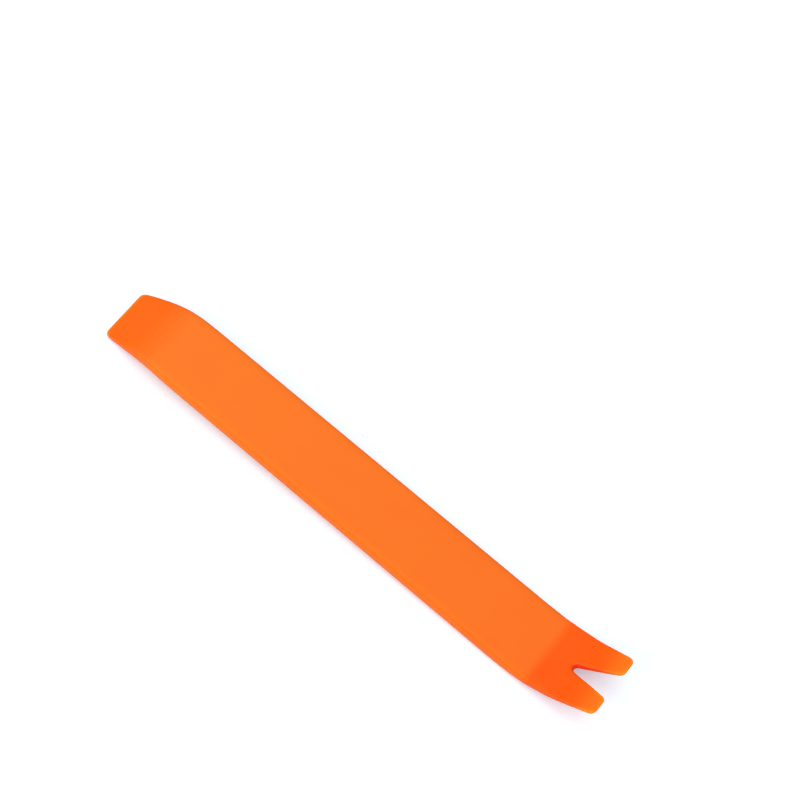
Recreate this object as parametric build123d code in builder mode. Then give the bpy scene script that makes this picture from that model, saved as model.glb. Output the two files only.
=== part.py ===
"""Trim removal tool: one injection-moulded bar with a thin pry blade at one end and a notched fork at the other.

Units are millimetres and +Z is up. The bar is drawn in its own frame: its length runs along X, the blade is at -X
and turns down, the fork is at +X and turns up, and the origin is the middle of the grip's section. The bar is the
same on both sides of the XZ plane. The finished bar is then laid down as it rests on a bench, on the lower edge of
its blade and on the underside where the fork begins to rise, with the origin under the middle of the whole tool.
"""

import os
from math import asin, atan, atan2, cos, degrees, hypot, radians, sin, sqrt, tan

from build123d import *

# Grip, the straight middle of the bar
overall_length = 180.0
grip_thickness = 4.5
grip_width_at_blade = 23.8
grip_width_at_fork = 25.0
edge_round_share = 0.30  # radius along the bar's long edges, as a share of the thickness beside it

# Pry blade, a wedge that turns down, with its distances measured back from its edge
blade_edge_width = 18.0
blade_edge_thickness = 1.0
blade_angle = 31.0  # slope of the upper side at the edge, degrees
blade_bend_start = 20.0  # where the upper side leaves the plane of the grip
blade_bend_radius = 25.0
blade_under_angle = 16.0  # slope of the underside at the edge, degrees
blade_under_radius = 28.0
blade_taper_length = 26.0  # over which the sides curve in to the edge
blade_corner_radius = 1.8
blade_corner_land = 1.2  # from the end of the rounded corners to the end of the small round on the rim
blade_rim_share = 0.33  # round on the edge's rim, as a share of the edge's thickness

# Fork, two prongs that turn up, with its distances measured back from its tips
fork_end_width = 22.6
fork_tip_thickness = 1.2
fork_angle = 27.0  # slope of the upper side at the tips, degrees
fork_bend_start = 20.4
fork_bend_radius = 12.0  # a tight bend on top
fork_under_angle = 30.9  # slope of the underside at the tips, degrees
fork_under_radius = 50.0  # a long sweep below, which thins the prongs
fork_outer_corner_radius = 2.0
fork_inner_corner_radius = 1.3
fork_rim_share = 0.33

# V notch between the prongs, as seen from above
notch_depth = 13.6
notch_half_angle = 17.5
notch_root_radius = 1.2
notch_root_land = 1.2  # from the notch's root to the end of the small round on the rim

# Witness marks that the mould's ejector pins leave on the underside of the grip
ejector_mark_diameter = 5.0
ejector_mark_depth = 0.15
ejector_mark_spacing = 32.0
ejector_mark_count = 4

# Between the grip and the two ends the bar is drawn through cross sections about this far apart
section_spacing = 1.0
round_blend_length = 6.0  # over which the small round of an end grows into the round of the long edges

# Places along X that follow from the sizes
edge_x = -overall_length / 2
tip_x = overall_length / 2

# Steepest upward part of the normal of a face that still counts as upright
upright_tolerance = 0.01


def rise(run, radius, angle):
    """Height gained by an arc that starts level and turns by the angle, and by the line that follows it."""
    if run <= 0:
        return 0.0
    if run <= radius * sin(angle):
        return radius - sqrt(radius**2 - run**2)
    return radius * (1 - cos(angle)) + (run - radius * sin(angle)) * tan(angle)


def run_to_gain(height, radius, angle):
    """Run over which that arc and its straight line gain this height."""
    if height <= radius * (1 - cos(angle)):
        return sqrt(radius**2 - (radius - height) ** 2)
    return radius * tan(angle / 2) + height / tan(angle)


# The undersides start where they do so that they end a tip's thickness below the upper sides
blade_slope = radians(blade_angle)
blade_under_slope = radians(blade_under_angle)
blade_drop = rise(blade_bend_start, blade_bend_radius, blade_slope)
blade_under_drop = blade_drop + blade_edge_thickness / cos(blade_slope) - grip_thickness
blade_under_start = run_to_gain(blade_under_drop, blade_under_radius, blade_under_slope)
fork_slope = radians(fork_angle)
fork_under_slope = radians(fork_under_angle)
fork_lift = rise(fork_bend_start, fork_bend_radius, fork_slope)
fork_under_lift = fork_lift - fork_tip_thickness / cos(fork_slope) + grip_thickness
fork_under_start = run_to_gain(fork_under_lift, fork_under_radius, fork_under_slope)

# The grip lies between the two roots, and each end has a stretch with a small round on its rim
blade_root_x = edge_x + max(blade_taper_length, blade_bend_start, blade_under_start)
fork_root_x = tip_x - max(fork_bend_start, fork_under_start)
blade_lip_x = edge_x + blade_corner_radius + blade_corner_land
fork_head_x = tip_x - notch_depth - notch_root_land
blade_rim_radius = blade_rim_share * blade_edge_thickness
fork_rim_radius = fork_rim_share * fork_tip_thickness

# The blade's sides curve in on arcs, and the fork's sides run in straight
blade_narrowing = (grip_width_at_blade - blade_edge_width) / 2
blade_side_radius = (blade_taper_length**2 + blade_narrowing**2) / (2 * blade_narrowing)
blade_side_angle = asin(blade_taper_length / blade_side_radius)
fork_side_angle = atan((grip_width_at_fork - fork_end_width) / 2 / fork_bend_start)


def upper_z(x):
    """Height of the upper side."""
    lift = rise(x - tip_x + fork_bend_start, fork_bend_radius, fork_slope)
    drop = rise(edge_x + blade_bend_start - x, blade_bend_radius, blade_slope)
    return grip_thickness / 2 + lift - drop


def lower_z(x):
    """Height of the underside."""
    lift = rise(x - tip_x + fork_under_start, fork_under_radius, fork_under_slope)
    drop = rise(edge_x + blade_under_start - x, blade_under_radius, blade_under_slope)
    return -grip_thickness / 2 + lift - drop


def half_width(x):
    """Half the width: arcs beside the blade, sides that spread along the grip, straight sides at the fork."""
    taper_from = edge_x + blade_taper_length
    taper_to = tip_x - fork_bend_start
    if x < taper_from:
        return grip_width_at_blade / 2 - rise(taper_from - x, blade_side_radius, blade_side_angle)
    if x > taper_to:
        return grip_width_at_fork / 2 - (x - taper_to) * tan(fork_side_angle)
    share = (x - taper_from) / (taper_to - taper_from)
    return (grip_width_at_blade + share * (grip_width_at_fork - grip_width_at_blade)) / 2


def edge_round(x):
    """Radius of the long edges: in step with the thickness, and easing into the small round of the nearer end."""
    thickness = upper_z(x) - lower_z(x)
    end_x, rim_radius = (blade_lip_x, blade_rim_radius) if x < 0 else (fork_head_x, fork_rim_radius)
    end_round = edge_round_share * (upper_z(end_x) - lower_z(end_x))
    easing = max(0, 1 - abs(x - end_x) / round_blend_length) ** 2
    return edge_round_share * thickness - (end_round - rim_radius) * easing


def stands_upright(face):
    """Whether a face stands straight up and down."""
    return abs(face.normal_at().Z) < upright_tolerance


def sections(start, end):
    """Evenly spaced cross sections between two places: rectangles with rounded corners."""
    count = round((end - start) / section_spacing)
    outlines = []
    for i in range(1, count):
        x = start + (end - start) * i / count
        with BuildSketch(Plane.YZ.offset(x)) as outline:
            with Locations((0, (upper_z(x) + lower_z(x)) / 2)):
                RectangleRounded(2 * half_width(x), upper_z(x) - lower_z(x), edge_round(x))
        outlines.append(outline.sketch)
    return outlines


def side_line(height, blade_start, blade_arc, fork_start, fork_arc):
    """One long side of the side view: a straight line, an arc, the level grip, an arc and a straight line."""
    stations = (
        edge_x,
        edge_x + blade_start - blade_arc,
        edge_x + blade_start,
        tip_x - fork_start,
        tip_x - fork_start + fork_arc,
        tip_x,
    )
    edge, blade_arc_end, blade_arc_start, fork_arc_start, fork_arc_end, tip = [(x, height(x)) for x in stations]
    Line(edge, blade_arc_end)
    TangentArc(blade_arc_start, blade_arc_end, tangent=(-1, 0))
    Line(blade_arc_start, fork_arc_start)
    TangentArc(fork_arc_start, fork_arc_end, tangent=(1, 0))
    Line(fork_arc_end, tip)


with BuildSketch(Plane.XZ) as side_view:
    with BuildLine():
        side_line(
            upper_z,
            blade_bend_start,
            blade_bend_radius * sin(blade_slope),
            fork_bend_start,
            fork_bend_radius * sin(fork_slope),
        )
        side_line(
            lower_z,
            blade_under_start,
            blade_under_radius * sin(blade_under_slope),
            fork_under_start,
            fork_under_radius * sin(fork_under_slope),
        )
        Line((edge_x, upper_z(edge_x)), (edge_x, lower_z(edge_x)))
        Line((tip_x, upper_z(tip_x)), (tip_x, lower_z(tip_x)))
    make_face()

# Blade's lip: the mould parts upwards, so its rounded corners stand straight up and down
with BuildSketch() as lip_plan:
    with BuildLine():
        ThreePointArc(*[(x, half_width(x)) for x in (edge_x, (edge_x + blade_lip_x) / 2, blade_lip_x)])
        mirror(about=Plane.XZ)
        for x in (edge_x, blade_lip_x):
            Line((x, -half_width(x)), (x, half_width(x)))
    make_face()
    fillet(lip_plan.vertices().group_by(Axis.X)[0], blade_corner_radius)

with BuildPart() as blade_lip:
    extrude(side_view.sketch, amount=grip_width_at_blade, both=True)
    extrude(lip_plan.sketch, amount=overall_length, both=True, mode=Mode.INTERSECT)
    lip_edge = blade_lip.faces().sort_by(Axis.X)[0]
    fillet(lip_edge.edges().filter_by(Axis.Y), blade_rim_radius)

# Fork's head: the V's two straight flanks would meet at the apex, and an arc of the root radius joins
# them before it
notch_slope = radians(notch_half_angle)
notch_apex_x = tip_x - notch_depth - notch_root_radius * (1 / sin(notch_slope) - 1)
notch_cut_x = tip_x + notch_depth
notch_cut_half_width = (notch_cut_x - notch_apex_x) * tan(notch_slope)

with BuildSketch() as notch_plan:
    with BuildLine():
        Polyline(
            (notch_apex_x, 0),
            (notch_cut_x, notch_cut_half_width),
            (notch_cut_x, -notch_cut_half_width),
            close=True,
        )
    make_face()
    fillet(notch_plan.vertices().sort_by(Axis.X)[0], notch_root_radius)

with BuildSketch() as head_plan:
    with BuildLine():
        Polyline(
            (fork_head_x, -half_width(fork_head_x)),
            (tip_x, -half_width(tip_x)),
            (tip_x, half_width(tip_x)),
            (fork_head_x, half_width(fork_head_x)),
            close=True,
        )
    make_face()
    fillet(head_plan.vertices().group_by(Axis.X)[-1], fork_outer_corner_radius)
    add(notch_plan.sketch, mode=Mode.SUBTRACT)
    fillet(head_plan.vertices().sort_by_distance((tip_x, 0))[:2], fork_inner_corner_radius)

with BuildPart() as fork_head:
    extrude(side_view.sketch, amount=grip_width_at_fork, both=True)
    extrude(head_plan.sketch, amount=overall_length, both=True, mode=Mode.INTERSECT)
    # A picked edge carries on round the notch, the prongs and the sides
    upright_rounds = fork_head.faces().filter_by(GeomType.CYLINDER).filter_by(stands_upright)
    notch_root = upright_rounds.sort_by(Axis.X)[0]
    fillet(notch_root.edges().filter_by(Axis.Z, reverse=True), fork_rim_radius)

with BuildPart() as grip:
    with BuildSketch():
        with BuildLine():
            Polyline(
                (blade_root_x, -half_width(blade_root_x)),
                (fork_root_x, -half_width(fork_root_x)),
                (fork_root_x, half_width(fork_root_x)),
                (blade_root_x, half_width(blade_root_x)),
                close=True,
            )
        make_face()
    extrude(amount=grip_thickness / 2, both=True)
    long_edges = grip.edges().filter_by(Axis.Z, reverse=True).filter_by(Axis.Y, reverse=True)
    fillet(long_edges, edge_round_share * grip_thickness)

with BuildPart() as bar:
    add(blade_lip.part)
    add(grip.part)
    add(fork_head.part)
    lip_back = blade_lip.faces().sort_by(Axis.X)[-1]
    head_back = fork_head.faces().sort_by(Axis.X)[0]
    grip_ends = grip.faces().sort_by(Axis.X)
    loft([lip_back, *sections(blade_lip_x, blade_root_x), grip_ends[0]])
    loft([grip_ends[-1], *sections(fork_root_x, fork_head_x), head_back])

    # Ejector marks
    with BuildSketch(Plane.XY.offset(-grip_thickness / 2)):
        with GridLocations(ejector_mark_spacing, 0, ejector_mark_count, 1):
            Circle(ejector_mark_diameter / 2)
    extrude(amount=ejector_mark_depth, mode=Mode.SUBTRACT)

# At rest the bench touches two rounds: the rim under the blade's edge, and the sweep that starts under the fork
blade_round_x = edge_x + blade_rim_radius
blade_round_z = lower_z(blade_round_x) + blade_rim_radius / cos(blade_under_slope)
fork_round_x = tip_x - fork_under_start
fork_round_z = fork_under_radius - grip_thickness / 2
span_x = fork_round_x - blade_round_x
span_z = fork_round_z - blade_round_z
rest_angle = atan2(span_z, span_x) - asin((fork_under_radius - blade_rim_radius) / hypot(span_x, span_z))
bench_z = fork_round_z * cos(rest_angle) - fork_round_x * sin(rest_angle) - fork_under_radius

with BuildPart() as trim_tool:
    turned_bar = bar.part.rotate(Axis.Y, degrees(rest_angle))
    with Locations((-turned_bar.bounding_box().center().X, 0, -bench_z)):
        add(turned_bar)

trim_tool.part.label = "trim_tool"

os.makedirs("parts", exist_ok=True)
export_step(trim_tool.part, "parts/trim_tool.step")
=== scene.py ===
"""Trim removal tool: one injection-moulded nylon bar on a pale bench, with its lamps and its camera.

The bar is worked out in its own frame, which has its origin in the middle of the grip's section, the blade at
-X and the fork at +X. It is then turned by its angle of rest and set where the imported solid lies. All lengths
are in metres.
"""

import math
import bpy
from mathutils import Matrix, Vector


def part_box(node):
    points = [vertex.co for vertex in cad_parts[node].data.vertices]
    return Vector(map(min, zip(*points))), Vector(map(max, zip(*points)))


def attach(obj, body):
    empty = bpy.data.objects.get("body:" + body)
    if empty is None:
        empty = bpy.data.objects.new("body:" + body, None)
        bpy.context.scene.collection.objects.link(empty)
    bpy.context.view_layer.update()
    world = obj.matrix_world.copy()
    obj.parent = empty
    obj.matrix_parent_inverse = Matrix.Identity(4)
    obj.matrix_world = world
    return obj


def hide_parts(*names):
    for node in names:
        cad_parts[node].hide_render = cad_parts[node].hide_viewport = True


bl_info = {
    "name": "Trim Removal Tool",
    "version": (1, 0, 0),
    "blender": (4, 5, 0),
    "location": "3D View > Sidebar > Trim Tool",
    "description": "Builds a moulded trim tool with a pry blade and a notched fork, and a bench to show it",
    "category": "Add Mesh",
}

import bmesh
import bpy
import numpy as np
from mathutils import Matrix, Vector

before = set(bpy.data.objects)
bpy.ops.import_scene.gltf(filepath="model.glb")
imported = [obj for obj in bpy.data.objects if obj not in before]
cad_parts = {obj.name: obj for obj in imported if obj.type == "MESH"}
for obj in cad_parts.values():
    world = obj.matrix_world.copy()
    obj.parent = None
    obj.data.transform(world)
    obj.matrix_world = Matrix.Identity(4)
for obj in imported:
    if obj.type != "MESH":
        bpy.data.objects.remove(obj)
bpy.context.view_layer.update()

MM = 0.001
NODE = "trim_tool"
BODY = "root"


def linear(code):
    """A colour written as sRGB hex, turned to linear light."""
    channels = np.array([int(code[i : i + 2], 16) for i in (1, 3, 5)]) / 255
    low = channels / 12.92
    high = ((channels + 0.055) / 1.055) ** 2.4
    return tuple(float(c) for c in np.where(channels <= 0.04045, low, high))


def length(name, description, millimetres):
    """A length property, given in millimetres and kept in metres."""
    return bpy.props.FloatProperty(
        name=name, description=description, default=millimetres * MM, min=0.0, unit="LENGTH", precision=5
    )


def angle(name, description, degrees):
    """An angle property, given in degrees and kept in radians."""
    return bpy.props.FloatProperty(
        name=name, description=description, default=math.radians(degrees), subtype="ANGLE", unit="ROTATION"
    )


def share(name, description, value):
    """A property from 0 to 1."""
    return bpy.props.FloatProperty(name=name, description=description, default=value, min=0.0, max=1.0)


def colour(name, description, code):
    """A colour property, given as sRGB hex."""
    return bpy.props.FloatVectorProperty(
        name=name, description=description, default=linear(code), size=3, min=0.0, max=1.0, subtype="COLOR"
    )


def brightness(name, description, value):
    """A strength of light, from 0 up."""
    return bpy.props.FloatProperty(name=name, description=description, default=value, min=0.0)


def lamp_power(name, description, watts):
    """The power of a lamp, in watts."""
    return bpy.props.FloatProperty(name=name, description=description, default=watts, min=0.0, unit="POWER")


def position(name, description, metres):
    """A place in the room, in metres from the middle of the bench."""
    return bpy.props.FloatVectorProperty(
        name=name, description=description, default=metres, size=3, subtype="TRANSLATION", unit="LENGTH"
    )


class TrimToolBar(bpy.types.PropertyGroup):
    """Sizes and colours of the moulded bar."""

    overall_length: length("Overall Length", "From the blade's edge to the fork's tips", 180.0)
    grip_thickness: length("Grip Thickness", "Thickness of the straight middle", 4.5)
    grip_width_at_blade: length("Grip Width at Blade", "Width where the blade begins", 23.8)
    grip_width_at_fork: length("Grip Width at Fork", "Width where the fork begins", 25.0)
    edge_round_share: share("Edge Round", "Radius of the long edges as a share of the thickness", 0.30)

    blade_edge_width: length("Blade Edge Width", "Width of the blade at its edge", 18.0)
    blade_edge_thickness: length("Blade Edge Thickness", "Thickness of the blade at its edge", 1.0)
    blade_angle: angle("Blade Angle", "Slope of the upper side at the edge", 31.0)
    blade_bend_start: length("Blade Bend Start", "Where the upper side leaves the grip's plane", 20.0)
    blade_bend_radius: length("Blade Bend Radius", "Radius of the bend above", 25.0)
    blade_under_angle: angle("Blade Under Angle", "Slope of the underside at the edge", 16.0)
    blade_under_radius: length("Blade Under Radius", "Radius of the bend below", 28.0)
    blade_taper_length: length("Blade Taper Length", "Length over which the sides curve in", 26.0)
    blade_corner_radius: length("Blade Corner Radius", "Rounding of the two corners, from above", 1.8)
    blade_corner_land: length("Blade Corner Land", "From the corners to the end of the small round", 1.2)
    blade_rim_share: share("Blade Rim", "Round on the edge's rim as a share of its thickness", 0.33)

    fork_end_width: length("Fork End Width", "Width across both prongs at their tips", 22.6)
    fork_tip_thickness: length("Fork Tip Thickness", "Thickness of the prongs at their tips", 1.185)
    fork_bend_angle: angle("Fork Bend Angle", "Turn where the upper side leaves the grip's plane", 14.0)
    fork_bend_start: length("Fork Bend Start", "Where that bend starts, from the tips", 23.5)
    fork_bend_radius: length("Fork Bend Radius", "Radius of that bend", 12.0)
    fork_lift_angle: angle("Fork Lift Angle", "Turn of the second bend, which lifts the prongs", 16.2)
    fork_lift_start: length("Fork Lift Start", "Where the second bend starts, from the tips", 15.0)
    fork_lift_radius: length("Fork Lift Radius", "Radius of the second bend", 22.0)
    fork_taper_length: length("Fork Taper Length", "Length over which the sides draw in", 20.4)
    fork_under_angle: angle("Fork Under Angle", "Slope of the underside at the tips", 30.9)
    fork_under_radius: length("Fork Under Radius", "Radius of the long sweep below", 50.0)
    fork_outer_corner_radius: length("Outer Corner Radius", "Rounding of each prong's outer corner", 2.0)
    fork_inner_corner_radius: length("Inner Corner Radius", "Rounding of each prong's inner corner", 1.9)
    fork_rim_share: share("Fork Rim", "Round on the prongs' rims as a share of their thickness", 0.334)

    notch_depth: length("Notch Depth", "From the tips to the root of the V", 12.9)
    notch_half_angle: angle("Notch Half Angle", "Half the angle of the V", 17.5)
    notch_root_radius: length("Notch Root Radius", "Radius at the root of the V", 1.2)
    notch_root_land: length("Notch Root Land", "From the root to the end of the small round", 1.2)
    notch_lip: length("Notch Lip", "Round over the root of the notch, where clips rub", 1.2)
    notch_lip_fade: length("Notch Lip Fade", "From the root, over which the lip shrinks to the rim", 8.0)
    notch_lean: angle("Notch Lean", "Lean of the notch's walls, square to the sloping fork", 33.0)
    notch_lean_fade: length("Notch Lean Fade", "Before the tips, over which the walls straighten up", 4.0)
    round_blend_length: length("Round Blend", "Over which a small round grows into the long edges'", 6.0)

    ejector_mark_diameter: length("Ejector Mark Diameter", "Witness marks under the grip", 5.0)
    ejector_mark_depth: length("Ejector Mark Depth", "Depth of the witness marks", 0.15)
    ejector_mark_spacing: length("Ejector Mark Spacing", "Spacing of the witness marks", 32.0)
    ejector_mark_count: bpy.props.IntProperty(
        name="Ejector Marks", description="How many witness marks there are", default=4, min=1
    )

    # The grip's colour is the nylon's own orange with a little painted sheen in it, paler than the orange of
    # the edges, the fork and the notch
    nylon: colour("Nylon", "Colour of the thick grip", "#FF7A22")
    # Painted shade: the grip darkens towards the fork, and the blade's slope and the fork past its bend are
    # darker, as less light falls on them
    nylon_painted_shade: colour("Deep Nylon", "Colour in the fork's hollow, where light bounces", "#FF5A00")
    # Painted shade: the rounded edges are painted a richer orange, without the painted sheen of the grip's
    # colour
    nylon_painted_edge_shade: colour("Nylon at the Edges", "Colour of the rounded edges, richer than the grip", "#FB7400")
    # Painted shade: the notch's walls are painted a deep red where they lie in the shade of the V
    nylon_painted_notch_shade: colour("Nylon in the Notch", "Colour of the notch's walls, which light each other", "#F53400")
    # Painted light: thin tips and rims are painted yellower for the light that comes through them
    nylon_painted_through_light: colour("Thin Nylon", "Colour of thin rims, which light passes through", "#FFA820")


class TrimToolStage(bpy.types.PropertyGroup):
    """Bench, sky, lamps and camera."""

    bench: colour("Bench", "Colour of the bench", "#F0F7F9")
    bench_shade: colour("Bench Shade", "Cool tone that the bench keeps in its shadows", "#D4ECFF")
    bench_size: length("Bench Size", "Side of the square bench", 4000.0)
    bench_glow: brightness("Bench Glow", "Light added to what the camera sees of the bench", 0.33)
    far_glow: brightness("Far Glow", "The same, far from the tool, where it is white", 0.52)
    glow_fade_start: length("Glow Fade Start", "From the middle to where that light turns white", 150.0)
    glow_fade_end: length("Glow Fade End", "From the middle to where it is all white", 500.0)

    sky: colour("Sky", "Colour of the light all round", "#FCFCFF")
    sky_high: brightness("Sky Above", "Strength of the light from straight above", 1.15)
    sky_low: brightness("Sky Low", "Strength of the light from the horizon", 0.12)
    sky_turn: share("Sky Turn", "Height of the direction at which the sky starts to brighten", 0.35)

    key: lamp_power("Key", "Power of the wide lamp overhead", 5.2)
    key_size: length("Key Size", "Side of that lamp", 1800.0)
    key_place: position("Key Place", "Where it stands", (-0.1, -0.35, 1.2))
    key_tone: colour("Key Tone", "Colour of its light", "#FFFDFA")
    fill: lamp_power("Fill", "Power of the low lamp in front", 8.0)
    fill_size: length("Fill Size", "Side of that lamp", 900.0)
    fill_place: position("Fill Place", "Where it stands", (-0.6, -1.1, 0.6))
    fill_tone: colour("Fill Tone", "Colour of its light", "#FFFFFF")

    camera_distance: length("Camera Distance", "From the camera to the bench along its axis", 1073.75)
    camera_aim_x: bpy.props.FloatProperty(
        name="Camera Aim X", description="Where its axis meets the bench", default=-12.0 * MM, unit="LENGTH"
    )
    camera_aim_y: bpy.props.FloatProperty(
        name="Camera Aim Y", description="Where its axis meets the bench", default=36.7 * MM, unit="LENGTH"
    )
    camera_azimuth: angle("Camera Azimuth", "From straight in front, round towards the fork", 6.155)
    camera_elevation: angle("Camera Elevation", "Above the bench", 59.33)
    camera_roll: angle("Camera Roll", "Turn of the camera about its axis", 33.66)
    camera_lens: bpy.props.FloatProperty(
        name="Camera Lens", description="Focal length on a sensor 36 mm wide", default=162.0, min=1.0
    )


def rise(run, radius, slope):
    """Height gained by an arc that starts level and turns by the slope, and by the line that follows it.

    The arc is radius - sqrt(radius^2 - run^2) until the run is radius * sin(slope), and past that the height
    grows by tan(slope) for each step of the run.
    """
    arc = np.clip(run, 0, radius * np.sin(slope))
    beyond = np.clip(run - radius * np.sin(slope), 0, None)
    return radius - np.sqrt(radius**2 - arc**2) + beyond * np.tan(slope)


def gradient(run, radius, slope):
    """Steepness of that arc and line: run / sqrt(radius^2 - run^2), held at tan(slope) past the arc."""
    arc = np.clip(run, 0, radius * np.sin(slope))
    return arc / np.sqrt(radius**2 - arc**2)


def run_to_gain(height, radius, slope):
    """Run over which that arc and line gain this height.

    It is sqrt(radius^2 - (radius - height)^2) if the arc alone gains it, and otherwise
    radius * tan(slope / 2) + height / tan(slope).
    """
    if height <= radius * (1 - math.cos(slope)):
        return math.sqrt(radius**2 - (radius - height) ** 2)
    return radius * math.tan(slope / 2) + height / math.tan(slope)


class BarShape:
    """The bar's side view, its width and the round of its edges, as functions of the place along X."""

    def __init__(self, size):
        self.size = size
        self.edge_x = -size.overall_length / 2
        self.tip_x = size.overall_length / 2
        self.taper_from = self.edge_x + size.blade_taper_length
        self.taper_to = self.tip_x - size.fork_taper_length
        self.bend_x = self.tip_x - size.fork_bend_start

        # The undersides start where they do so that both ends come out as thick as they should
        drop = rise(size.blade_bend_start, size.blade_bend_radius, size.blade_angle)
        under_drop = drop + size.blade_edge_thickness / math.cos(size.blade_angle) - size.grip_thickness
        self.blade_under_start = run_to_gain(under_drop, size.blade_under_radius, size.blade_under_angle)
        lift, tip_slope = self.fork_lift(self.tip_x)
        under_lift = lift - size.fork_tip_thickness * math.hypot(tip_slope, 1) + size.grip_thickness
        self.fork_under_start = run_to_gain(under_lift, size.fork_under_radius, size.fork_under_angle)

        # The blade's sides curve in on arcs, and the fork's sides run in straight
        narrowing = (size.grip_width_at_blade - size.blade_edge_width) / 2
        self.side_radius = (size.blade_taper_length**2 + narrowing**2) / (2 * narrowing)
        self.side_angle = math.asin(size.blade_taper_length / self.side_radius)
        drawing_in = (size.grip_width_at_fork - size.fork_end_width) / 2
        self.fork_side_angle = math.atan(drawing_in / size.fork_taper_length)

        # Small rounds on the rims of the two ends, and where they begin
        self.blade_rim = size.blade_rim_share * size.blade_edge_thickness
        self.fork_rim = size.fork_rim_share * size.fork_tip_thickness
        self.lip_x = self.edge_x + size.blade_corner_radius + size.blade_corner_land
        self.head_x = self.tip_x - size.notch_depth - size.notch_root_land

        # The notch's root, the centre of its arc, and where the lip over it leaves the upper side
        self.notch_root_x = self.tip_x - size.notch_depth
        self.notch_centre_x = self.notch_root_x + size.notch_root_radius
        root_slope = float(self.upper_slope(self.notch_root_x))
        self.lip_start_x = self.notch_root_x - size.notch_lip * (1 + root_slope / math.hypot(root_slope, 1))

    def fork_lift(self, x):
        """Height and steepness that the fork's two bends give the upper side."""
        size = self.size
        first = (x - self.tip_x + size.fork_bend_start, size.fork_bend_radius, size.fork_bend_angle)
        second = (x - self.tip_x + size.fork_lift_start, size.fork_lift_radius, size.fork_lift_angle)
        return rise(*first) + rise(*second), gradient(*first) + gradient(*second)

    def upper(self, x):
        """Height of the upper side: level, less the drop to the blade and plus the lift to the fork."""
        size = self.size
        drop = rise(self.edge_x + size.blade_bend_start - x, size.blade_bend_radius, size.blade_angle)
        return size.grip_thickness / 2 + self.fork_lift(x)[0] - drop

    def upper_slope(self, x):
        """Steepness of the upper side along X."""
        size = self.size
        blade = gradient(self.edge_x + size.blade_bend_start - x, size.blade_bend_radius, size.blade_angle)
        return self.fork_lift(x)[1] + blade

    def lower(self, x):
        """Height of the underside, in the same way."""
        size = self.size
        lift = rise(x - self.tip_x + self.fork_under_start, size.fork_under_radius, size.fork_under_angle)
        drop = rise(self.edge_x + self.blade_under_start - x, size.blade_under_radius, size.blade_under_angle)
        return -size.grip_thickness / 2 + lift - drop

    def lower_slope(self, x):
        """Steepness of the underside along X."""
        size = self.size
        fork_run = x - self.tip_x + self.fork_under_start
        blade_run = self.edge_x + self.blade_under_start - x
        fork = gradient(fork_run, size.fork_under_radius, size.fork_under_angle)
        return fork + gradient(blade_run, size.blade_under_radius, size.blade_under_angle)

    def half_width(self, x):
        """Half the width: arcs beside the blade, a slow spread along the grip, straight sides at the fork."""
        size = self.size
        spread = np.clip((x - self.taper_from) / (self.taper_to - self.taper_from), 0, 1)
        width = size.grip_width_at_blade + spread * (size.grip_width_at_fork - size.grip_width_at_blade)
        blade = rise(self.taper_from - x, self.side_radius, self.side_angle)
        fork = np.clip(x - self.taper_to, 0, None) * math.tan(self.fork_side_angle)
        return width / 2 - blade - fork

    def side_normal(self, x):
        """Outward normal of the side, seen from above, from the steepness of half_width."""
        size = self.size
        grip = (size.grip_width_at_fork - size.grip_width_at_blade) / 2 / (self.taper_to - self.taper_from)
        slope = np.where((x > self.taper_from) & (x <= self.taper_to), grip, 0.0)
        slope = slope + gradient(self.taper_from - x, self.side_radius, self.side_angle)
        slope = np.where(x > self.taper_to, -math.tan(self.fork_side_angle), slope)
        return np.stack([-slope, np.ones_like(slope)], -1) / np.hypot(slope, 1)[:, None]

    def edge_round(self, x):
        """Radius of the long edges: a share of the thickness, eased into the small rounds of the two ends."""
        size = self.size
        radius = size.edge_round_share * (self.upper(x) - self.lower(x))
        for end_x, rim, inside in (
            (self.lip_x, self.blade_rim, x > self.lip_x),
            (self.head_x, self.fork_rim, x < self.head_x),
        ):
            full = size.edge_round_share * (self.upper(end_x) - self.lower(end_x))
            easing = np.clip(1 - np.abs(x - end_x) / size.round_blend_length, 0, None) ** 2
            radius = np.where(inside, radius - (full - rim) * easing, rim)
        return radius

    def rest_angle(self):
        """Slope at which the bar lies, on the blade's lower rim and the sweep under the fork."""
        size = self.size
        rim_x = self.edge_x + self.blade_rim
        rim_z = float(self.lower(rim_x)) + self.blade_rim / math.cos(size.blade_under_angle)
        span_x = self.tip_x - self.fork_under_start - rim_x
        span_z = size.fork_under_radius - size.grip_thickness / 2 - rim_z
        spread = (size.fork_under_radius - self.blade_rim) / math.hypot(span_x, span_z)
        return math.atan2(span_z, span_x) - math.asin(spread)


# How finely the surface is divided
BLADE_CORNER_STEPS = 12
ROOT_STEPS = 12
FLANK_STEPS = 26
TIP_CORNER_STEPS = 10
ROUND_STEPS = 7
WALL_STEPS = 4
END_SPACING = 0.5 * MM
GRIP_SPACING = 1.5 * MM
MARK_SPACING = 0.25 * MM
DENSITY_STEP = 0.05 * MM
MARK_MARGIN = 0.6 * MM
MARK_SOFTNESS = 0.3 * MM
LEAN_ROUNDS = 6
WELD = 0.002 * MM

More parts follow.
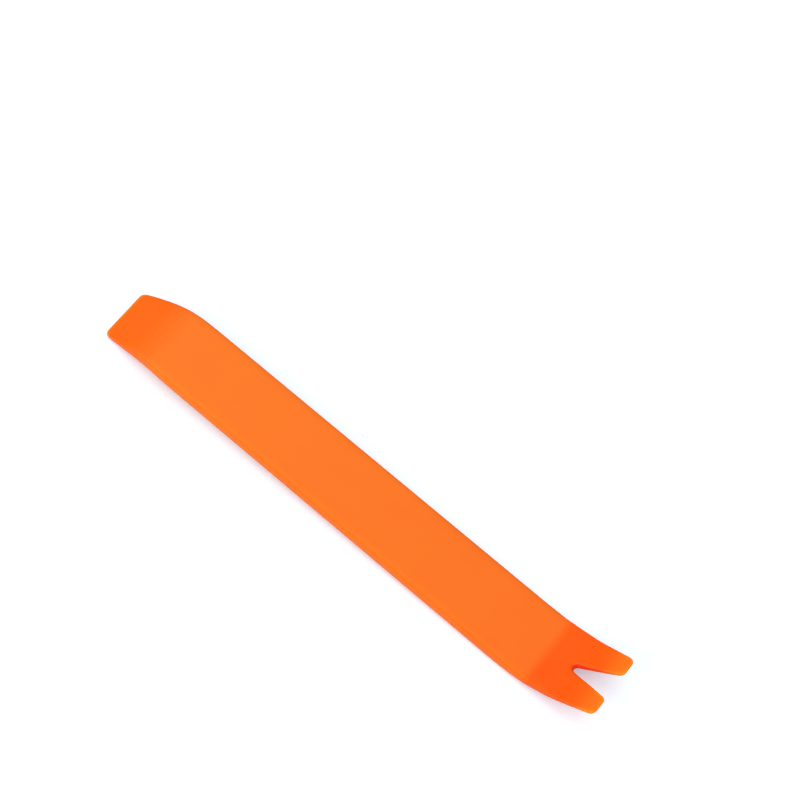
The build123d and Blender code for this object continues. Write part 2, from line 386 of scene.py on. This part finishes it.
# How strong each painted tone of the nylon is, and over which distance it comes and goes: painted shade along
# the grip, on the blade and in the fork's hollow, painted edge shade, painted shade in the notch and painted
# light through thin parts
GRIP_TONE = 0.28
BLADE_TONE = 0.60
BLADE_TONE_REACH = 13 * MM
BEND_TONE = 0.72
BEND_TONE_REACH = 4.2 * MM
TIP_RELIEF = 0.6
TIP_RELIEF_REACH = 13 * MM
EDGE_TONE_REACH = 0.9 * MM
WALL_TONE_REACH = 2.4 * MM
WALL_TONE_FADE = 1.0 * MM
WALL_TONE_DEPTH = 0.45 * MM
WALL_TONE_BEHIND = 0.5 * MM  # how far behind the notch's root it starts
WALL_TONE_HOLD = 1.3  # above 1, it stays full for a stretch before it falls
THIN_TIPS = 0.14
THIN_TIPS_REACH = 7 * MM
THIN_RIM = 0.6
THIN_RIM_REACH = 0.5 * MM
THIN_EDGE_REACH = 2 * MM  # from the blade's edge


def soft_step(value):
    """0 below 0, 1 above 1 and a smooth ramp between: 3 v^2 - 2 v^3."""
    value = np.clip(value, 0, 1)
    return value**2 * (3 - 2 * value)


def mark_centres(size):
    """Places of the ejector marks along the grip, evenly spaced about the middle."""
    count = size.ejector_mark_count
    return (np.arange(count) - (count - 1) / 2) * size.ejector_mark_spacing


def body_stations(shape, start, end):
    """Places along X, closer together at the two bent ends and over the ejector marks.

    They are read off a running sum of the wanted density, so that neighbours differ little.
    """
    size = shape.size
    x = np.arange(start, end, DENSITY_STEP)
    bent = (x < shape.taper_from) | (x > shape.tip_x - shape.fork_under_start)
    density = np.where(bent, 1 / END_SPACING, 1 / GRIP_SPACING)
    reach = size.ejector_mark_diameter / 2 + MARK_MARGIN
    over_mark = (np.abs(x[:, None] - mark_centres(size)) < reach).any(1)
    density = np.where(over_mark, 1 / MARK_SPACING, density)
    total = np.cumsum(density) * DENSITY_STEP
    count = int(math.ceil(total[-1]))
    stations = np.interp(np.linspace(total[0], total[-1], count + 1), total, x)
    stations[-1] = end
    return stations


def arc(centre_x, centre_y, radius, start, end, steps):
    """Points and outward directions of an arc between two angles: centre + radius * (cos, sin)."""
    turn = np.linspace(start, end, steps + 1)
    direction = np.stack([np.cos(turn), np.sin(turn)], -1)
    return np.array([centre_x, centre_y]) + radius * direction, direction


def outer_side(shape):
    """The side seen from above, from the blade's edge to the prong's end: an arc, a curve and an arc.

    It comes with its outward directions and with the row beside which the notch begins.
    """
    size = shape.size
    radius = size.blade_corner_radius
    corner_x = shape.edge_x + radius
    circle_y = size.grip_width_at_blade / 2 - shape.side_radius
    from_circle = corner_x - shape.taper_from
    corner_y = circle_y + math.sqrt((shape.side_radius - radius) ** 2 - from_circle**2)
    turn = math.atan2(corner_y - circle_y, from_circle)
    corner, corner_out = arc(corner_x, corner_y, radius, math.pi, turn, BLADE_CORNER_STEPS)

    x = body_stations(shape, corner[-1, 0], shape.lip_start_x)
    body = np.stack([x, shape.half_width(x)], -1)
    body_out = shape.side_normal(x)

    outer = size.fork_outer_corner_radius
    outer_x = shape.tip_x - outer
    outer_y = float(shape.half_width(outer_x)) - outer / math.cos(shape.fork_side_angle)
    leave = math.pi / 2 - shape.fork_side_angle
    tip, tip_out = arc(outer_x, outer_y, outer, leave, 0, TIP_CORNER_STEPS)

    # Beside the notch the side moves on by equal steps, as many as the notch has round its root and its flank
    flank_x = np.linspace(shape.lip_start_x, tip[0, 0], ROOT_STEPS + FLANK_STEPS + 1)[1:]
    flank = np.stack([flank_x, shape.half_width(flank_x)], -1)
    flank_out = shape.side_normal(flank_x)

    points = np.concatenate([corner, body[1:], flank, tip[1:]])
    outward = np.concatenate([corner_out, body_out[1:], flank_out, tip_out[1:]])
    return points, outward, len(corner) + len(body) - 2


def notch_side(shape):
    """The notch seen from above, from its root to the prong's end: an arc, a straight flank and an arc."""
    size = shape.size
    half = size.notch_half_angle
    root, to_wall = arc(
        shape.notch_centre_x, 0, size.notch_root_radius, math.pi, math.pi / 2 + half, ROOT_STEPS
    )
    apex_x = shape.notch_centre_x - size.notch_root_radius / math.sin(half)
    inner = size.fork_inner_corner_radius
    inner_x = shape.tip_x - inner
    inner_y = (inner_x - apex_x) * math.tan(half) + inner / math.cos(half)
    tip, tip_out = arc(inner_x, inner_y, inner, half - math.pi / 2, 0, TIP_CORNER_STEPS)
    along = np.linspace(0, 1, FLANK_STEPS + 1)[1:, None]
    flank = root[-1] + along * (tip[0] - root[-1])
    flank_out = np.repeat(tip_out[:1], FLANK_STEPS, 0)
    return np.concatenate([root, flank, tip[1:]]), np.concatenate([-to_wall, flank_out, tip_out[1:]])


def column_shares(shape):
    """Shares of the way from the middle line to the side, closer together over the ejector marks."""
    near = shape.size.ejector_mark_diameter / 2 + MARK_MARGIN
    side = shape.size.grip_width_at_blade / 2 - shape.size.edge_round_share * shape.size.grip_thickness
    near_steps = int(round(near / MARK_SPACING))
    far_steps = int(round((side - near) / (2 * END_SPACING)))
    inside = np.linspace(0, near, near_steps + 1)
    outside = np.linspace(near, side, far_steps + 1)[1:]
    return np.concatenate([inside, outside]) / side


def grid_faces(rows, columns, first, flip):
    """Quads of a grid of rows times columns whose vertices start at first."""
    corner = first + np.arange(rows - 1)[:, None] * columns + np.arange(columns - 1)
    quads = np.stack([corner, corner + columns, corner + columns + 1, corner + 1], -1).reshape(-1, 4)
    return quads[:, ::-1] if flip else quads


def mark_depth(size, x, y):
    """Depth of the ejector marks: their full depth inside a circle, with a soft step at its rim."""
    away = np.hypot(x[..., None] - mark_centres(size), y[..., None]).min(-1)
    inside = (size.ejector_mark_diameter / 2 - away) / MARK_SOFTNESS + 0.5
    return size.ejector_mark_depth * soft_step(inside)


def rolled_round(outline, wall, radii, height, slope, up):
    """Round between the upper side (up = 1) or the underside (up = -1) and the wall.

    A ball of the round's radius rolls along the edge and touches both. Its centre lies off the edge by
    -radius * (side's normal + wall's normal) / (1 + their dot product). The round is the arc of the ball
    between the two places where it touches, which is
    centre + radius * (sin(a - t) * side's normal + sin(t) * wall's normal) / sin(a),
    with t running from 0 to the angle a between the two normals. The rows run from the side to the wall.
    """
    steep = slope(outline[:, 0])
    square = np.stack([-steep, np.zeros_like(steep), np.ones_like(steep)], -1)
    normal = up * square / np.hypot(steep, 1)[:, None]
    together = (normal * wall).sum(1)
    plan = outline - (radii / (1 + together))[:, None] * (normal + wall)[:, :2]
    touch_x = plan[:, 0] + radii * normal[:, 0]
    centre = np.concatenate([plan, (height(touch_x) - radii * normal[:, 2])[:, None]], 1)
    between = np.arccos(together)
    turn = np.linspace(0, 1, ROUND_STEPS + 1)[:, None] * between
    from_side = (np.sin(between - turn) / np.sin(between))[..., None] * normal
    from_wall = (np.sin(turn) / np.sin(between))[..., None] * wall
    return centre + radii[:, None] * (from_side + from_wall)


def notch_lean(shape, notch):
    """Lean of the notch's walls as a tangent, and how far it takes their lower edge towards the tips.

    The distance is the lean times the height between the two edges, found by a few rounds of substitution.
    The walls straighten up near the tips.
    """
    upright = soft_step(1 - (shape.tip_x - notch[:, 0]) / shape.size.notch_lean_fade)
    lean = math.tan(shape.size.notch_lean) * (1 - upright)
    shift = np.zeros(len(notch))
    for _ in range(LEAN_ROUNDS):
        shift = lean * (shape.upper(notch[:, 0]) - shape.lower(notch[:, 0] + shift))
    return lean, shift


def face_plan(border, edge_count, side_count, notch_count, root_row, columns):
    """Grid of the upper side or the underside, seen from above, within the border where the rim begins.

    Each row is straight and runs to the outer side, from the middle line or, where there is one, the notch.
    """
    outer = border[edge_count - 1 : edge_count - 1 + side_count]
    inner = np.stack([outer[:, 0], np.zeros(side_count)], -1)
    inner[root_row:] = border[::-1][:notch_count]
    return inner[:, None] + columns[:, None] * (outer - inner)[:, None]


def half_bar(shape):
    """The half of the bar at positive Y, as vertices, quads and the outline that carries the rim.

    The upper side and the underside are grids of heights. The rim is a profile carried along the outline: a
    round below the upper side, a wall and a round above the underside. The wall leans in the notch and is
    upright elsewhere. A larger round, the lip, lies over the notch's root and fades along the flanks.
    """
    side, side_out, root_row = outer_side(shape)
    notch, notch_out = notch_side(shape)
    columns = column_shares(shape)

    # The outline goes from the middle of the blade's edge round the side and the prong's end to the notch
    edge = np.stack([np.full(len(columns), shape.edge_x), columns * side[0, 1]], -1)
    end = (notch[-1] + columns[:, None] * (side[-1] - notch[-1]))[::-1]
    edge_out = np.repeat([[-1.0, 0.0]], len(columns), 0)
    end_out = np.repeat([[1.0, 0.0]], len(columns), 0)
    outline = np.concatenate([edge, side[1:], end[1:], notch[::-1][1:]])
    outward = np.concatenate([edge_out, side_out[1:], end_out[1:], notch_out[::-1][1:]])
    edge_round = np.full(len(columns), shape.blade_rim)
    end_round = np.full(len(end) + len(notch) - 2, shape.fork_rim)
    radii = np.concatenate([edge_round, shape.edge_round(side[1:, 0]), end_round])

    from_root = np.hypot(notch[:, 0] - notch[0, 0], notch[:, 1])
    fade = soft_step(1 - from_root / shape.size.notch_lip_fade)
    lip = (shape.size.notch_lip - shape.fork_rim) * fade
    lean, shift = notch_lean(shape, notch)
    no_notch = np.zeros(len(radii) - len(notch))
    lips, lean, shift = (np.concatenate([no_notch, part[::-1]]) for part in (lip, lean, shift))
    wall = np.concatenate([outward, (outward[:, 0] * lean)[:, None]], 1)
    wall /= np.linalg.norm(wall, axis=1)[:, None]
    lower_outline = outline + np.stack([shift, np.zeros_like(shift)], -1)
    upper_rim = rolled_round(outline, wall, radii + lips, shape.upper, shape.upper_slope, 1)
    lower_rim = rolled_round(lower_outline, wall, radii, shape.lower, shape.lower_slope, -1)
    down = np.linspace(0, 1, WALL_STEPS + 1)[1:-1, None, None]
    between = upper_rim[-1] + down * (lower_rim[-1] - upper_rim[-1])
    rim = np.concatenate([upper_rim, between, lower_rim[::-1]])

    layout = (len(columns), len(side), len(notch), root_row, columns)
    x, y = np.moveaxis(face_plan(rim[0, :, :2], *layout), -1, 0)
    top = np.stack([x, y, shape.upper(x)], -1)
    x, y = np.moveaxis(face_plan(rim[-1, :, :2], *layout), -1, 0)
    bottom = np.stack([x, y, shape.lower(x) + mark_depth(shape.size, x, y)], -1)

    rows, cols = top.shape[:2]
    vertices = np.concatenate([part.reshape(-1, 3) for part in (top, bottom, rim)])
    quads = np.concatenate(
        [
            grid_faces(rows, cols, 0, False),
            grid_faces(rows, cols, rows * cols, True),
            grid_faces(len(rim), len(outline), 2 * rows * cols, True),
        ]
    )
    return vertices, quads, outline


def distance_to(points, outline):
    """Distance from each point to the nearest point of the outline, seen from above, a block at a time."""
    near = np.empty(len(points))
    block = 4000
    for start in range(0, len(points), block):
        gap = points[start : start + block, None, :2] - outline
        near[start : start + block] = np.sqrt((gap**2).sum(-1).min(1))
    return near


def make_mesh(name, vertices, quads):
    """Puts the arrays into a mesh with smooth faces, and merges the vertices that lie at one place."""
    mesh = bpy.data.meshes.new(name)
    mesh.vertices.add(len(vertices))
    mesh.vertices.foreach_set("co", vertices.astype(np.float32).ravel())
    mesh.loops.add(quads.size)
    mesh.loops.foreach_set("vertex_index", quads.astype(np.int32).ravel())
    mesh.polygons.add(len(quads))
    mesh.polygons.foreach_set("loop_start", np.arange(0, quads.size, 4, dtype=np.int32))
    mesh.polygons.foreach_set("use_smooth", np.ones(len(quads), bool))
    mesh.update(calc_edges=True)
    joined = bmesh.new()
    joined.from_mesh(mesh)
    bmesh.ops.remove_doubles(joined, verts=joined.verts, dist=WELD)
    joined.to_mesh(mesh)
    joined.free()
    return mesh


def vertex_places(mesh):
    """The mesh's vertices as an array."""
    flat = np.empty(3 * len(mesh.vertices), np.float32)
    mesh.vertices.foreach_get("co", flat)
    return flat.reshape(-1, 3).astype(float)


def rest_places(shape, vertices):
    """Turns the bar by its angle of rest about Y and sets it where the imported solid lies.

    Its width is drawn in by the few thousandths of a millimetre that it has over the solid's.
    """
    rest = shape.rest_angle()
    turn = np.array([[math.cos(rest), 0, math.sin(rest)], [0, 1, 0], [-math.sin(rest), 0, math.cos(rest)]])
    placed = vertices @ turn.T
    low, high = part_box(NODE)
    placed[:, 1] *= min(1, high.y / placed[:, 1].max())
    middle = (placed[:, 0].min() + placed[:, 0].max()) / 2
    return placed + np.array([(low.x + high.x) / 2 - middle, 0, low.z - placed[:, 2].min()])


def painted_hollow_shade(shape, vertices):
    """How strongly each vertex takes the painted shade, which darkens the grip towards the fork, the blade's
    slope and the fork's hollow, where less light falls.

    It is a sum. It grows evenly along the grip and by a soft step over the fork's bend, and falls by a soft
    step towards the tips. The blade's slope has a soft step of it too.
    """
    x = vertices[:, 0]
    along = np.clip((x - shape.taper_from) / (shape.bend_x - shape.taper_from), 0, 1)
    on_blade = soft_step((shape.edge_x + shape.size.blade_bend_start - x) / BLADE_TONE_REACH)
    past_bend = soft_step((x - shape.bend_x) / BEND_TONE_REACH)
    to_tips = soft_step((x - shape.notch_centre_x) / TIP_RELIEF_REACH)
    return GRIP_TONE * along + BLADE_TONE * on_blade + BEND_TONE * past_bend - TIP_RELIEF * to_tips


def painted_notch_shade_tone(shape, vertices):
    """How strongly each vertex takes the painted shade of the notch's walls, which lie deep in the V and face
    away from the light.

    It is a soft step of the depth below the upper side, close to the notch only, and falls evenly to nothing
    at the tips. The notch's flank is taken as the line y = (x - centre) * tan(half angle) + root radius.
    """
    size = shape.size
    x, y, z = vertices.T
    flank_y = (x - shape.notch_centre_x) * math.tan(size.notch_half_angle) + size.notch_root_radius
    from_flank = np.abs(np.abs(y) - np.clip(flank_y, 0, None))
    beside = x > shape.notch_root_x - WALL_TONE_BEHIND
    close = soft_step((WALL_TONE_REACH - from_flank) / WALL_TONE_FADE)
    depth = soft_step((shape.upper(x) - z) / WALL_TONE_DEPTH)
    from_tips = np.clip(WALL_TONE_HOLD * (shape.tip_x - x) / size.notch_depth, 0, 1)
    return beside * close * depth * from_tips


def painted_through_light_tone(shape, vertices, from_rim):
    """How much painted light each vertex takes, the yellower light that comes through thin nylon: the prongs'
    tips a little, and their rims and the blade's edge much more.

    The tips and the edge fade along the bar as soft steps, and a rim fades as exp(-distance / reach).
    """
    near_edge = soft_step(1 - (vertices[:, 0] - shape.edge_x) / THIN_EDGE_REACH)
    near_tips = soft_step(1 - (shape.tip_x - vertices[:, 0]) / THIN_TIPS_REACH)
    rim = np.exp(-from_rim / THIN_RIM_REACH)
    return np.clip(THIN_TIPS * near_tips + THIN_RIM * rim * np.maximum(near_edge, near_tips), 0, 1)


def empty_tree(owner):
    """Gives a material or a world an empty node tree."""
    owner.use_nodes = True
    owner.node_tree.nodes.clear()
    return owner.node_tree


def add_node(tree, kind, at, inputs=None, links=None, **settings):
    """Adds a node with its settings, its fixed inputs, and links from other nodes' outputs to its inputs."""
    node = tree.nodes.new(kind)
    node.location = at
    for key, value in settings.items():
        setattr(node, key, value)
    for key, value in (inputs or {}).items():
        node.inputs[key].default_value = value
    for key, (source, output) in (links or {}).items():
        tree.links.new(source.outputs[output], node.inputs[key])
    return node


def add_tone(tree, at, under, over, share_of_over):
    """Mixes a colour over a first one, which is a colour or an earlier mix, by another node's share."""
    mixed = isinstance(under, bpy.types.Node)
    inputs = {"B": (*over, 1)} if mixed else {"A": (*under, 1), "B": (*over, 1)}
    links = {"Factor": share_of_over}
    if mixed:
        links["A"] = (under, "Result")
    return add_node(tree, "ShaderNodeMix", at, data_type="RGBA", inputs=inputs, links=links)


def per_metre(size):
    """Scale of a texture whose grains are this large."""
    return 1 / size


# Spacing and height of the slow waves of uneven cooling and of the fine orange peel on the skin
WAVE_SPACING = 14 * MM
WAVE_HEIGHT = 0.15 * MM
PEEL_SPACING = 0.35 * MM
PEEL_HEIGHT = 0.02 * MM


def moulded_nylon(bar):
    """Nylon 6, injection moulded in a polished tool and a little translucent.

    The skin is satin with a fine orange peel, so lamps give it broad, soft sheens with no sharp edge. The tones
    read from the mesh are painted light and shade: the grip's colour holds a little painted sheen, thin rims
    are painted yellower for light that comes through from behind, the notch's walls are painted redder where
    they lie in shade, the rounded edges a richer orange, and the grip darker towards the fork, over the blade's
    slope and in the fork's hollow. Slow waves from uneven cooling keep the large flat faces from looking quite
    flat.
    The refraction is nylon's, and the sheen is turned down, as light from all round leaves little of it.
    """
    material = bpy.data.materials.new("nylon_injection_moulded_satin")
    tree = empty_tree(material)
    place = add_node(tree, "ShaderNodeTexCoord", (-1200, 0))
    thin = add_node(tree, "ShaderNodeAttribute", (-1200, 300), attribute_name="painted_through_light")
    hollow = add_node(tree, "ShaderNodeAttribute", (-1200, 700), attribute_name="hollow")
    painted_notch_shade = add_node(tree, "ShaderNodeAttribute", (-1200, 500), attribute_name="painted_notch_shade")
    edge = add_node(tree, "ShaderNodeAttribute", (-1200, 900), attribute_name="edge")
    cloud = add_node(
        tree,
        "ShaderNodeTexNoise",
        (-1000, 100),
        inputs={"Scale": per_metre(WAVE_SPACING), "Detail": 2.0},
        links={"Vector": (place, "Object")},
    )
    tint = add_node(
        tree,
        "ShaderNodeMapRange",
        (-800, 100),
        inputs={"From Min": 0.3, "From Max": 0.7, "To Min": 0.0, "To Max": 0.05},
        links={"Value": (cloud, "Fac")},
    )
    amount = add_node(
        tree,
        "ShaderNodeMath",
        (-600, 200),
        operation="ADD",
        use_clamp=True,
        links={0: (thin, "Fac"), 1: (tint, "Result")},
    )
    # painted shade on the rounded edges, without the grip's painted sheen
    tone = add_tone(tree, (-1000, 900), bar.nylon, bar.nylon_painted_edge_shade, (edge, "Fac"))
    # painted shade over the grip, the blade's slope and the fork's hollow
    tone = add_tone(tree, (-800, 700), tone, bar.nylon_painted_shade, (hollow, "Fac"))
    # painted light through the thin tips and rims, with a little random tint from the slow waves
    tone = add_tone(tree, (-400, 300), tone, bar.nylon_painted_through_light, (amount, "Value"))
    # painted shade on the notch's walls
    body = add_tone(tree, (-300, 500), tone, bar.nylon_painted_notch_shade, (painted_notch_shade, "Fac"))
    peel = add_node(
        tree,
        "ShaderNodeTexNoise",
        (-1000, -200),
        inputs={"Scale": per_metre(PEEL_SPACING), "Detail": 3.0},
        links={"Vector": (place, "Object")},
    )
    satin = add_node(
        tree,
        "ShaderNodeMapRange",
        (-600, -100),
        inputs={"From Min": 0.3, "From Max": 0.7, "To Min": 0.36, "To Max": 0.44},
        links={"Value": (peel, "Fac")},
    )
    wave = add_node(
        tree,
        "ShaderNodeBump",
        (-600, -300),
        inputs={"Strength": 0.25, "Distance": WAVE_HEIGHT},
        links={"Height": (cloud, "Fac")},
    )
    skin = add_node(
        tree,
        "ShaderNodeBump",
        (-400, -300),
        inputs={"Strength": 0.12, "Distance": PEEL_HEIGHT},
        links={"Height": (peel, "Fac"), "Normal": (wave, "Normal")},
    )
    shader = add_node(
        tree,
        "ShaderNodeBsdfPrincipled",
        (-150, 100),
        inputs={"IOR": 1.53, "Specular IOR Level": 0.12},
        links={"Base Color": (body, "Result"), "Roughness": (satin, "Result"), "Normal": (skin, "Normal")},
    )
    add_node(tree, "ShaderNodeOutputMaterial", (150, 100), links={"Surface": (shader, "BSDF")})
    return material


class TRIMTOOL_OT_bar(bpy.types.Operator):
    """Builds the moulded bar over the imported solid"""

    bl_idname = "trimtool.bar"
    bl_label = "Moulded Bar"
    bl_options = {"REGISTER", "UNDO"}

    def execute(self, context):
        bar = context.scene.trim_tool_bar
        shape = BarShape(bar)
        half, quads, outline = half_bar(shape)
        mirrored = half * [1, -1, 1]
        quads = np.concatenate([quads, quads[:, ::-1] + len(half)])
        mesh = make_mesh("moulded_bar", np.concatenate([half, mirrored]), quads)
        vertices = vertex_places(mesh)
        if not len(vertices):
            raise RuntimeError("the bar's surface came out empty")

        both_sides = np.concatenate([outline, outline * [1, -1]])
        from_rim = distance_to(vertices, both_sides)
        tones = {
            # painted shade of the grip, the blade's slope and the fork's hollow
            "hollow": painted_hollow_shade(shape, vertices),
            # painted shade in the notch
            "painted_notch_shade": painted_notch_shade_tone(shape, vertices),
            # painted edge shade, fading away from the rim
            "edge": np.exp(-from_rim / EDGE_TONE_REACH),
            # painted light through thin parts
            "painted_through_light": painted_through_light_tone(shape, vertices, from_rim),
        }
        mesh.vertices.foreach_set("co", rest_places(shape, vertices).astype(np.float32).ravel())
        mesh.update()
        for name, tone in tones.items():
            attribute = mesh.attributes.new(name, "FLOAT", "POINT")
            attribute.data.foreach_set("value", tone.astype(np.float32))
        piece = bpy.data.objects.new("moulded_bar", mesh)
        context.scene.collection.objects.link(piece)
        mesh.materials.append(moulded_nylon(bar))
        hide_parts(NODE)
        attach(piece, BODY)
        return {"FINISHED"}


def bench_material(stage):
    """Matt white laminate: an even white that takes soft shadows, a little brighter to the camera's eye.

    The light that is added for the camera is cool near the tool and fades to white further out.
    """
    material = bpy.data.materials.new("bench_laminate_matt")
    tree = empty_tree(material)
    surface = add_node(
        tree,
        "ShaderNodeBsdfPrincipled",
        (-300, 100),
        inputs={"Base Color": (*stage.bench, 1), "Roughness": 0.9, "Specular IOR Level": 0.1},
    )
    path = add_node(tree, "ShaderNodeLightPath", (-900, -200))
    seen = add_node(
        tree,
        "ShaderNodeMath",
        (-700, -200),
        operation="MAXIMUM",
        links={0: (path, "Is Camera Ray"), 1: (path, "Is Glossy Ray")},
    )
    seen = add_node(
        tree,
        "ShaderNodeMath",
        (-500, -200),
        operation="MAXIMUM",
        links={0: (seen, "Value"), 1: (path, "Is Transmission Ray")},
    )
    place = add_node(tree, "ShaderNodeTexCoord", (-1100, -500))
    away = add_node(
        tree, "ShaderNodeVectorMath", (-900, -500), operation="LENGTH", links={"Vector": (place, "Object")}
    )
    reach = {"From Min": stage.glow_fade_start, "From Max": stage.glow_fade_end}
    fade = add_node(tree, "ShaderNodeMapRange", (-700, -400), inputs=reach, links={"Value": (away, "Value")})
    glow = add_node(
        tree,
        "ShaderNodeMapRange",
        (-700, -650),
        inputs={**reach, "To Min": stage.bench_glow, "To Max": stage.far_glow},
        links={"Value": (away, "Value")},
    )
    glow = add_node(
        tree,
        "ShaderNodeMath",
        (-400, -350),
        operation="MULTIPLY",
        links={0: (seen, "Value"), 1: (glow, "Result")},
    )
    tone = add_node(
        tree,
        "ShaderNodeMix",
        (-400, -550),
        data_type="RGBA",
        inputs={"A": (*stage.bench_shade, 1), "B": (1, 1, 1, 1)},
        links={"Factor": (fade, "Result")},
    )
    added = {"Color": (tone, "Result"), "Strength": (glow, "Value")}
    light = add_node(tree, "ShaderNodeEmission", (-200, -200), links=added)
    layers = {0: (surface, "BSDF"), 1: (light, "Emission")}
    both = add_node(tree, "ShaderNodeAddShader", (0, 0), links=layers)
    add_node(tree, "ShaderNodeOutputMaterial", (200, 0), links={"Surface": (both, "Shader")})
    return material


def graded_sky(stage):
    """Light from all round, strong from above and weak from the horizon, which the camera sees as white."""
    world = bpy.data.worlds.new("graded_sky")
    tree = empty_tree(world)
    direction = add_node(tree, "ShaderNodeTexCoord", (-900, 0))
    split = add_node(tree, "ShaderNodeSeparateXYZ", (-700, 0), links={"Vector": (direction, "Generated")})
    sky = add_node(
        tree,
        "ShaderNodeMapRange",
        (-500, 0),
        interpolation_type="SMOOTHSTEP",
        inputs={"From Min": stage.sky_turn, "To Min": stage.sky_low, "To Max": stage.sky_high},
        links={"Value": (split, "Z")},
    )
    path = add_node(tree, "ShaderNodeLightPath", (-500, 300))
    strength = add_node(
        tree,
        "ShaderNodeMath",
        (-300, 100),
        operation="MAXIMUM",
        links={0: (sky, "Result"), 1: (path, "Is Camera Ray")},
    )
    light = add_node(
        tree,
        "ShaderNodeBackground",
        (-100, 0),
        inputs={"Color": (*stage.sky, 1)},
        links={"Strength": (strength, "Value")},
    )
    add_node(tree, "ShaderNodeOutputWorld", (100, 0), links={"Surface": (light, "Background")})
    return world


def aim(at, target):
    """Placement of something that stands at one point and looks at another."""
    look = (target - at).to_track_quat("-Z", "Y")
    return Matrix.Translation(at) @ look.to_matrix().to_4x4()


def add_lamp(context, name, at, side, power, tone):
    """Adds a square soft box that looks at the middle of the bench."""
    data = bpy.data.lights.new(name, "AREA")
    data.shape = "SQUARE"
    data.size = side
    data.energy = power
    data.color = tone
    lamp = bpy.data.objects.new(name, data)
    lamp.matrix_world = aim(Vector(at), Vector((0, 0, 0)))
    context.scene.collection.objects.link(lamp)


# Width of the camera's sensor in millimetres, and in metres how near to the camera its view starts
SENSOR_WIDTH = 36.0
NEAREST_SEEN = 0.01


class TRIMTOOL_OT_stage(bpy.types.Operator):
    """Builds the bench, the lamps, the even light all round and the camera"""

    bl_idname = "trimtool.stage"
    bl_label = "Bench, Lamps and Camera"
    bl_options = {"REGISTER", "UNDO"}

    def execute(self, context):
        stage = context.scene.trim_tool_stage
        half = stage.bench_size / 2
        corners = np.array([[-half, -half, 0], [half, -half, 0], [half, half, 0], [-half, half, 0]])
        mesh = make_mesh("bench", corners, np.array([[0, 1, 2, 3]]))
        bench = bpy.data.objects.new("bench", mesh)
        context.scene.collection.objects.link(bench)
        mesh.materials.append(bench_material(stage))

        add_lamp(context, "key_lamp", stage.key_place, stage.key_size, stage.key, stage.key_tone)
        add_lamp(context, "fill_lamp", stage.fill_place, stage.fill_size, stage.fill, stage.fill_tone)
        context.scene.world = graded_sky(stage)

        data = bpy.data.cameras.new("camera")
        data.sensor_width = SENSOR_WIDTH
        data.lens = stage.camera_lens
        data.clip_start = NEAREST_SEEN
        camera = bpy.data.objects.new("camera", data)
        context.scene.collection.objects.link(camera)
        turn, lift = stage.camera_azimuth, stage.camera_elevation
        back = Vector((math.sin(turn) * math.cos(lift), -math.cos(turn) * math.cos(lift), math.sin(lift)))
        target = Vector((stage.camera_aim_x, stage.camera_aim_y, 0))
        place = aim(target + back * stage.camera_distance, target)
        camera.matrix_world = place @ Matrix.Rotation(stage.camera_roll, 4, "Z")
        context.scene.camera = camera
        context.scene.view_settings.view_transform = "Standard"
        return {"FINISHED"}


class TRIMTOOL_PT_panel(bpy.types.Panel):
    """Lists the pieces and their sizes"""

    bl_idname = "TRIMTOOL_PT_panel"
    bl_label = "Trim Removal Tool"
    bl_space_type = "VIEW_3D"
    bl_region_type = "UI"
    bl_category = "Trim Tool"

    def draw(self, context):
        for operator, group in (
            ("trimtool.bar", context.scene.trim_tool_bar),
            ("trimtool.stage", context.scene.trim_tool_stage),
        ):
            self.layout.operator(operator)
            box = self.layout.box()
            for key in group.bl_rna.properties.keys():
                if key not in ("rna_type", "name"):
                    box.prop(group, key)


CLASSES = (TrimToolBar, TrimToolStage, TRIMTOOL_OT_bar, TRIMTOOL_OT_stage, TRIMTOOL_PT_panel)


def register():
    for cls in CLASSES:
        bpy.utils.register_class(cls)
    bpy.types.Scene.trim_tool_bar = bpy.props.PointerProperty(type=TrimToolBar)
    bpy.types.Scene.trim_tool_stage = bpy.props.PointerProperty(type=TrimToolStage)


def unregister():
    del bpy.types.Scene.trim_tool_stage
    del bpy.types.Scene.trim_tool_bar
    for cls in reversed(CLASSES):
        bpy.utils.unregister_class(cls)


def main():
    """Builds the bar and the stage."""
    register()
    bpy.ops.trimtool.bar()
    bpy.ops.trimtool.stage()


if __name__ == "__main__":
    main()
